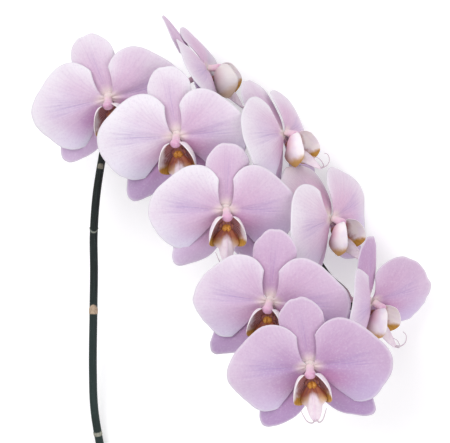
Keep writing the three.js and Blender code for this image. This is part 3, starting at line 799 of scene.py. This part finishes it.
def rod(centres, radii, sides):
    """A closed round rod along centres, with one radius for each centre or for each centre and side.

    Gives its points, its faces and the layers along and around.
    """
    tangents = np.gradient(centres, axis=0)
    tangents /= np.linalg.norm(tangents, axis=1)[:, None]
    normal = np.cross(tangents[0], (0, 0, 1.0))
    rows = []
    radii = np.broadcast_to(radii.reshape(len(centres), -1), (len(centres), sides))
    angles = ring_angles(sides)
    for centre, tangent, radius in zip(centres, tangents, radii):
        normal = unit(normal - tangent * np.dot(normal, tangent))
        other = np.cross(tangent, normal)
        ring = np.outer(np.cos(angles), normal) + np.outer(np.sin(angles), other)
        rows.append(centre + ring * radius[:, None])
    points = np.vstack(rows + [centres[:1], centres[-1:]])
    first, last = len(centres) * sides, len(centres) * sides + 1
    faces = []
    for side in range(sides):
        beside = (side + 1) % sides
        faces.append((first, beside, side))
        end = (len(centres) - 1) * sides
        faces.append((last, end + side, end + beside))
        for row in range(len(centres) - 1):
            low, high = row * sides, (row + 1) * sides
            faces.append((low + side, low + beside, high + beside, high + side))
    along = np.repeat(np.linspace(0, 1, len(centres)), sides)
    around = np.tile(1 - np.abs(angles / math.pi - 1), len(centres))
    return points, faces, dict(along=np.append(along, [0, 1]), around=np.append(around, [0, 0]))


def petals(cast, bloom, settings):
    """The two broad petals of a bloom. The right one is painted deeper as shade and the left one paler as
    light, with painted shade in the left one's fold where its bloom gives it, and some blooms grey the right
    one below.
    """
    for mirror, side in ((1, "right"), (-1, "left")):
        right = mirror == 1
        rise, lean, length, *rest = bloom[side]
        breadth, square = rest or (1, PETAL["square"])
        outline = dict(PETAL, length=length, width=PETAL["width"] * breadth, square=square)
        points, faces, layers = blade(
            outline, dict(PETAL_RELIEF, frill=bloom["frill"]), settings.rays, settings.rings,
            settings.thickness, mirror=-mirror, pleat=PETAL_PLEAT,
            phase=PHASE_STEP * bloom["number"] + mirror)
        direction = (PETAL_DIRECTION if right else 180 - PETAL_DIRECTION) + rise
        points = placed(points, direction, lean, LAYER_STEP)
        # Painted light: the left petal's lower half gets only this share of the change to the deeper lower
        # colour.
        up = layers["up"] * (1 if right else LEFT_LIT_LOWER_SHARE)
        # fold marks the lower inner part of the left petal, next to its root, where the painted shade of the
        # fold goes.
        fold = np.clip(-up * 2, 0, 1) * np.clip(2.6 - layers["along"] * 3.2, 0, 1)
        # A greyed bloom's right petal turns greyer over its lower half.
        grey_half = np.clip(0.28 - up * 0.9, 0, 0.7) if right and "greyed" in bloom else 0
        # Painted shade and light: the right petal is deeper and the left one paler, as the light falls from
        # the left, and the left one gets painted shade in its fold as far as its bloom gives it.
        deeper = RIGHT_PAINTED_SHADE if right else bloom.get("shade", 0) * fold - LEFT_PAINTED_LIGHT
        cast.add((points, faces, dict(layers, up=up)), bloom_matrix(bloom), blush=bloom["blush"] + deeper,
                 warm=bloom["warm"] + (RIGHT_WARM if right else 0), streak=1, grey=grey_half)


def sepals(cast, bloom, settings):
    """The dorsal sepal, the two lower sepals and the hub that holds them."""
    matrix, phase = bloom_matrix(bloom), PHASE_STEP * bloom["number"]
    relief = dict(SEPAL_RELIEF, frill=bloom["frill"])
    mesh = (settings.rays * 2 // 3, settings.rings, settings.thickness)
    rise, lean, length, *rest = bloom["dorsal"]
    outline = dict(DORSAL, length=length, width=DORSAL["width"] * (rest[0] if rest else 1))
    points, faces, layers = blade(outline, relief, *mesh, phase=phase, pleat=SEPAL_PLEAT)
    points = placed(points, DORSAL_DIRECTION + rise, lean, -LAYER_STEP)
    cast.add((points, faces, layers), matrix, up=DORSAL_UP, blush=bloom["blush"] + bloom["deepen"],
             warm=bloom["warm"] + bloom.get("rosy", DORSAL_WARM), streak=SEPAL_STREAK)
    rise, length, *extra = bloom["lower"]
    for mirror in (1, -1):
        points, faces, layers = blade(dict(LATERAL, length=length), relief, *mesh, mirror=mirror,
                                      phase=phase - mirror, pleat=SEPAL_PLEAT)
        direction = LATERAL_DIRECTION + rise
        points = placed(points, direction if mirror == 1 else 180 - direction, LATERAL_LEAN, -LAYER_STEP)
        # The lower sepals are deeper partly in their own dusky colour and partly as painted shade where they
        # lie behind the petals, and their bloom's extra deepening is the same mix.
        cast.add((points, faces, layers), matrix, up=LATERAL_UP, streak=SEPAL_STREAK,
                 blush=bloom["blush"] + LATERAL_BLUSH_AND_SHADE + sum(extra), warm=bloom["warm"] * 0.5 + LATERAL_WARM)
    hub = ball((HUB_RADIUS, HUB_RADIUS, HUB_DEPTH), (0, 0, 0))
    cast.add(hub, matrix, blush=bloom["blush"], along=0.03, face=1)


def side_lobes(cast, bloom, settings):
    """The two upright ears of the lip."""
    for mirror in (1, -1):
        points, faces, layers = blade(
            SIDE_LOBE, SIDE_LOBE_RELIEF, *SIDE_LOBE_MESH, settings.thickness, mirror=-mirror, phase=1)
        flip = np.array([mirror, 1, 1])
        along = unit(SIDE_LOBE_ALONG * flip)
        across = unit(np.cross(along, SIDE_LOBE_INWARDS * flip))
        inwards = np.cross(across, along)
        points = points @ np.array([across, along, inwards]) + SIDE_LOBE_ROOT * flip
        layers["across"] = layers["across"] * mirror
        top = np.clip(-layers["across"], 0, 1) * layers["along"]
        points = points + np.outer(top ** 2, SIDE_LOBE_FOLD * flip)
        layers["up"] = (points[:, 1] - SIDE_LOBE_FOOT) / SIDE_LOBE_HEIGHT
        cast.add((points, faces, layers), bloom_matrix(bloom), grey=bloom.get("greyed", 0))


def mid_lobe(cast, bloom, settings):
    """The arrow-shaped middle lobe of the lip with its two tendrils."""
    juts = Matrix.Translation(MID_LOBE_ROOT) @ turned(180, "Z") @ turned(bloom["chin"], "X")
    matrix = bloom_matrix(bloom) @ juts
    points, faces, layers = blade(
        MID_LOBE, MID_LOBE_RELIEF, *MID_LOBE_MESH, settings.thickness + MID_LOBE_THICKER, taper=0.5)
    layers["up"] = points[:, 1] / MID_LOBE["length"]
    cast.add((points, faces, layers), matrix)
    for mirror in (1, -1):
        centres = curve_points([(mirror * x, y, z) for x, y, z in TENDRIL], 28)
        radii = TENDRIL_RADIUS * np.linspace(1, TENDRIL_TAPER, len(centres))
        cast.add(rod(centres, radii, 10), matrix, up=1, across=0.3, grey=0.6, face=1)


def callus(cast, bloom):
    """The fleshy base of the lip, the floor of its throat and the two-lobed golden wart on it."""
    matrix = bloom_matrix(bloom)
    for radii, place in ((LIP_BASE_RADII, LIP_BASE_PLACE), (THROAT_RADII, THROAT_PLACE)):
        body = ball(radii, place)
        cast.add(body, matrix, scale=1, across=body[0][:, 0])

    def cleft(ways):
        return ways * (1 - 0.4 * np.exp(-(ways[:, :1] / 0.2) ** 2) * np.clip(ways[:, 2:] + 0.4, 0, 1))
    cast.add(ball(CALLUS_RADII, CALLUS_PLACE, columns=48, rows=32, shape=cleft), matrix)


def column(cast, bloom):
    """The column, with a flat underside, a low wing on each side and a rounded cap."""
    sides = 36
    heights = np.linspace(0, COLUMN_PROFILE[-1][0], 48)
    radius = np.interp(heights, *np.transpose(COLUMN_PROFILE)) * COLUMN_RADIUS
    angles = ring_angles(sides)
    under = 1 - 0.2 * np.clip(-np.sin(angles), 0, 1) ** 2
    wings = 0.2 * np.outer(np.exp(-((heights - 0.68) / 0.16) ** 2), np.cos(angles) ** 4)
    body = rod(np.outer(heights, (0, COLUMN_LENGTH, 0)), radius[:, None] * (under + wings), sides)
    root = COLUMN_PROFILE[0][1] * COLUMN_RADIUS
    droop = math.radians(COLUMN_DROOP)
    seat = HUB_DEPTH * math.sqrt(1 - (root * math.cos(droop) / HUB_RADIUS) ** 2)
    tilt = (Matrix.Translation((0, 0, seat + SEAT_GAP + root * math.sin(droop)))
            @ turned(90 + COLUMN_DROOP, "X"))
    cast.add(body, bloom_matrix(bloom) @ tilt)


def stem_rod(cast, settings):
    """The stem with a dry scale at each joint."""
    steps, sides = 1100, 26
    centres = curve_points(STEM_ROUTE, steps)
    share = np.linspace(0, 1, steps + 1)[:, None]
    taper = np.clip((share - STEM_TAPER_START) / (STEM_TAPER_END - STEM_TAPER_START), 0, 1)
    radii = settings.radius * (1 - taper) + STALK_END_RADIUS * taper
    points = rod(centres, radii, sides)[0]
    front = (points[:-2].reshape(steps + 1, sides, 3) - centres[:, None])[:, :, 2] / radii
    scale = np.zeros((steps + 1, sides))
    grey = np.zeros((steps + 1, sides))
    for joint in STEM_JOINTS:
        reach = centres[:, 1:2] - joint["height"]
        peak = joint["peak"] * np.maximum(front, 0) ** 1.5
        foot = peak if joint["peak"] < 0 else 0
        span = np.minimum(reach - foot + joint["below"], joint["above"] + peak - reach)
        inside = np.clip(span / SCALE_EDGE + 0.5, 0, 1) * (share < 0.5)
        inside = inside * np.clip((front - joint.get("front", -2)) * 4, 0, joint.get("strength", 1))
        grey = np.where(span > -2, joint["grey"], grey)
        scale = np.maximum(scale, inside)
    ribs = 1 + STEM_RIBS * np.cos(5 * ring_angles(sides)) * (1 - scale)
    body = rod(centres, radii * ribs + settings.scale_rise * scale, sides)
    ends = [0, 0]
    cut = np.zeros(len(body[0]))
    cut[-2] = 1
    cast.add(body, scale=np.append(scale.ravel(), ends), grey=np.append(grey.ravel(), ends), cut=cut)


def stalk(cast, bloom, start, bend):
    """One flower stalk with its ribbed ovary and the small bract below it."""
    turn = np.array(bloom_matrix(bloom))[:3, :3] / bloom["size"]
    face = turn @ np.array([0, 0, 1.0])
    seat = np.array(bloom["at"]) - face * (HUB_DEPTH * bloom["size"] + SEAT_GAP)
    centres = curve_points([start, bend, seat - face * OVARY_LENGTH, seat], 70)
    centres = np.vstack([centres, seat + face * (SEAT_GAP + STALK_INTO_HUB)])
    share = np.linspace(0, 1, len(centres))[:, None]
    radii = STALK_RADIUS + (OVARY_RADIUS - STALK_RADIUS) * share ** 2
    sides = 24
    ribs = 1 + OVARY_RIBS * np.cos(6 * ring_angles(sides)) * share ** 2
    cast.add(rod(centres, radii * ribs, sides))
    outwards = unit(np.subtract(bend, start))
    foot = start - outwards * BRACT_FOOT - np.array([0, 0, BRACT_DROP])
    spine = foot + np.outer(np.linspace(0, 1, 14), outwards * BRACT_LENGTH)
    width = BRACT_RADIUS * (1 - np.linspace(0, 0.97, 14) ** 1.6)
    cast.add(rod(spine, width, 14), along=0, around=0, scale=1)


class OrchidOperator:
    """What the operators of the blooms share."""

    bl_options = {"REGISTER", "UNDO"}

    def each_bloom(self, suffix, material, slot, node, fill, *settings):
        """Makes one piece for each bloom, filled by a function of its cast, bloom and settings."""
        for number, bloom in enumerate(BLOOMS, start=1):
            cast = Cast()
            fill(cast, dict(bloom, number=number), *settings)
            cast.build(f"bloom_{number}_{suffix}", material, [f"bloom_{number}_{node}"])


class ORCHID_OT_tepals(OrchidOperator, bpy.types.Operator):
    """Make the petals and sepals of every bloom"""

    bl_idname = "orchid.tepals"
    bl_label = "Petals and sepals"

    def execute(self, context):
        settings = context.scene.orchid_tepals
        material = tepal_finish(settings)
        self.each_bloom("petals", material, "tepal", "tepals", petals, settings)
        self.each_bloom("sepals", material, "tepal", "tepals", sepals, settings)
        return {"FINISHED"}


class ORCHID_OT_lips(OrchidOperator, bpy.types.Operator):
    """Make the side lobes, middle lobe and callus of every lip"""

    bl_idname = "orchid.lips"
    bl_label = "Lips"

    def execute(self, context):
        settings = context.scene.orchid_lip
        self.each_bloom("side_lobes", side_lobe_finish(settings), "lip", "lip", side_lobes, settings)
        self.each_bloom("mid_lobe", mid_lobe_finish(settings), "lip", "lip", mid_lobe, settings)
        self.each_bloom("callus", callus_finish(), "lip", "lip", callus)
        return {"FINISHED"}


class ORCHID_OT_columns(OrchidOperator, bpy.types.Operator):
    """Make the column of every bloom"""

    bl_idname = "orchid.columns"
    bl_label = "Columns"

    def execute(self, context):
        material = column_finish(context.scene.orchid_lip)
        self.each_bloom("pollen_column", material, "column", "column", column)
        return {"FINISHED"}


class ORCHID_OT_stem(bpy.types.Operator):
    """Make the stem and the flower stalks"""

    bl_idname = "orchid.stem"
    bl_label = "Stem"

    def execute(self, context):
        settings = context.scene.orchid_stem
        cast = Cast()
        stem_rod(cast, settings)
        cast.build("stem_rod", stem_finish(settings), ["flower_stem"])
        cast = Cast()
        for bloom, (start, bend) in zip(BLOOMS, STALKS):
            stalk(cast, bloom, start, bend)
        cast.build("flower_stalks", stalk_finish(settings), ["flower_stem"])
        return {"FINISHED"}


class ORCHID_OT_stage(bpy.types.Operator):
    """Make the floor, the lights and the camera"""

    bl_idname = "orchid.stage"
    bl_label = "Stage"

    def execute(self, context):
        settings = context.scene.orchid_stage
        half = settings.floor_size / 2
        mesh = bpy.data.meshes.new("floor")
        corners = [(-half, -half, 0), (half, -half, 0), (half, half, 0), (-half, half, 0)]
        mesh.from_pydata(corners, [], [(0, 1, 2, 3)])
        mesh.materials.append(plain_stage_finish(settings))
        floor = bpy.data.objects.new("floor", mesh)
        context.scene.collection.objects.link(floor)
        self.add_lights(context, settings)
        self.add_camera(context)
        return {"FINISHED"}

    def add_lights(self, context, settings):
        """A broad key light from the upper left, a broad fill light and an even sky."""
        for name, (place, size), power in (
                ("key", KEY_LIGHT, settings.key_power), ("fill", FILL_LIGHT, settings.fill_power)):
            light = bpy.data.lights.new(name, "AREA")
            light.shape = "DISK"
            light.size = size
            light.energy = power
            lamp = bpy.data.objects.new(name, light)
            lamp.location = place
            lamp.rotation_euler = (Vector(LIGHT_AIM) - Vector(place)).to_track_quat("-Z", "Y").to_euler()
            context.scene.collection.objects.link(lamp)
        world = bpy.data.worlds.new("studio")
        world.use_nodes = True
        sky = world.node_tree.nodes["Background"].inputs
        sky["Color"].default_value = WHITE
        sky["Strength"].default_value = settings.sky
        context.scene.world = world
        context.scene.view_settings.view_transform = "Standard"

    def add_camera(self, context):
        """A long lens square to the spray, so the middle of the picture is the middle of its plane."""
        data = bpy.data.cameras.new("camera")
        data.sensor_width = SENSOR_WIDTH
        data.lens = SENSOR_WIDTH * (VIEW_DISTANCE - VIEW_PLANE) / PICTURE_WIDTH
        data.clip_end = CLIP_END
        camera = bpy.data.objects.new("camera", data)
        context.scene.collection.objects.link(camera)
        spray = spray_matrix()
        camera.matrix_world = Matrix.LocRotScale(
            spray @ Vector((0, 0, VIEW_DISTANCE)), spray.to_quaternion(), Vector((1, 1, 1)))
        context.scene.camera = camera


class ORCHID_PT_panel(bpy.types.Panel):
    """Lists the steps that make the orchid"""

    bl_label = "Moth orchid stem"
    bl_idname = "ORCHID_PT_panel"
    bl_space_type = "VIEW_3D"
    bl_region_type = "UI"
    bl_category = "Orchid"

    def draw(self, context):
        for operator in OPERATORS:
            self.layout.operator(operator.bl_idname)
        for group in SETTINGS:
            box = self.layout.box()
            for setting in SETTINGS[group].__annotations__:
                box.prop(getattr(context.scene, group), setting)


OPERATORS = (ORCHID_OT_tepals, ORCHID_OT_lips, ORCHID_OT_columns, ORCHID_OT_stem, ORCHID_OT_stage)
SETTINGS = {
    "orchid_tepals": OrchidTepalSettings,
    "orchid_lip": OrchidLipSettings,
    "orchid_stem": OrchidStemSettings,
    "orchid_stage": OrchidStageSettings,
}


def register():
    for group in SETTINGS.values():
        bpy.utils.register_class(group)
    for name, group in SETTINGS.items():
        setattr(bpy.types.Scene, name, PointerProperty(type=group))
    for operator in OPERATORS:
        bpy.utils.register_class(operator)
    bpy.utils.register_class(ORCHID_PT_panel)


def unregister():
    bpy.utils.unregister_class(ORCHID_PT_panel)
    for operator in reversed(OPERATORS):
        bpy.utils.unregister_class(operator)
    for name, group in reversed(SETTINGS.items()):
        delattr(bpy.types.Scene, name)
        bpy.utils.unregister_class(group)


def main():
    register()
    bpy.ops.orchid.tepals()
    bpy.ops.orchid.lips()
    bpy.ops.orchid.columns()
    bpy.ops.orchid.stem()
    bpy.ops.orchid.stage()


if __name__ == "__main__":
    main()
